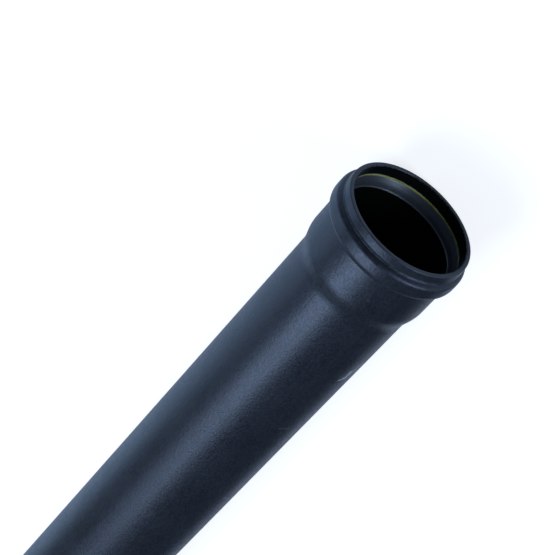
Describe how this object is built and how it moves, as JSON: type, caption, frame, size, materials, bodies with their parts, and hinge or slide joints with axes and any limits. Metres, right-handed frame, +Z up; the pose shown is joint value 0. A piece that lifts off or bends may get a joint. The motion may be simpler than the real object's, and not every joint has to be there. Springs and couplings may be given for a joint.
{
  "type": "soil pipe with ring-seal socket",
  "caption": "Straight plastic soil pipe, 110 mm, with a belled socket, bead and rubber lip seal at one end and a plain chamfered spigot at the other.",
  "frame": {"origin": "on the floor under the middle of the pipe's overall length, as the pipe lies level on the bead of its socket", "axes": "+X along the pipe's axis, towards the mouth of the socket; +Z up"},
  "size_m": [1.078, 0.128, 0.1282],
  "materials": {
    "pipe_plastic": "matte, finely grained",
    "seal_rubber": "matte",
    "ring_plastic": "matte"
  },
  "bodies": {
    "root": {"pipe": "pipe_plastic", "lip_seal": "seal_rubber", "retaining_ring": "ring_plastic"}
  },
  "joints": []
}
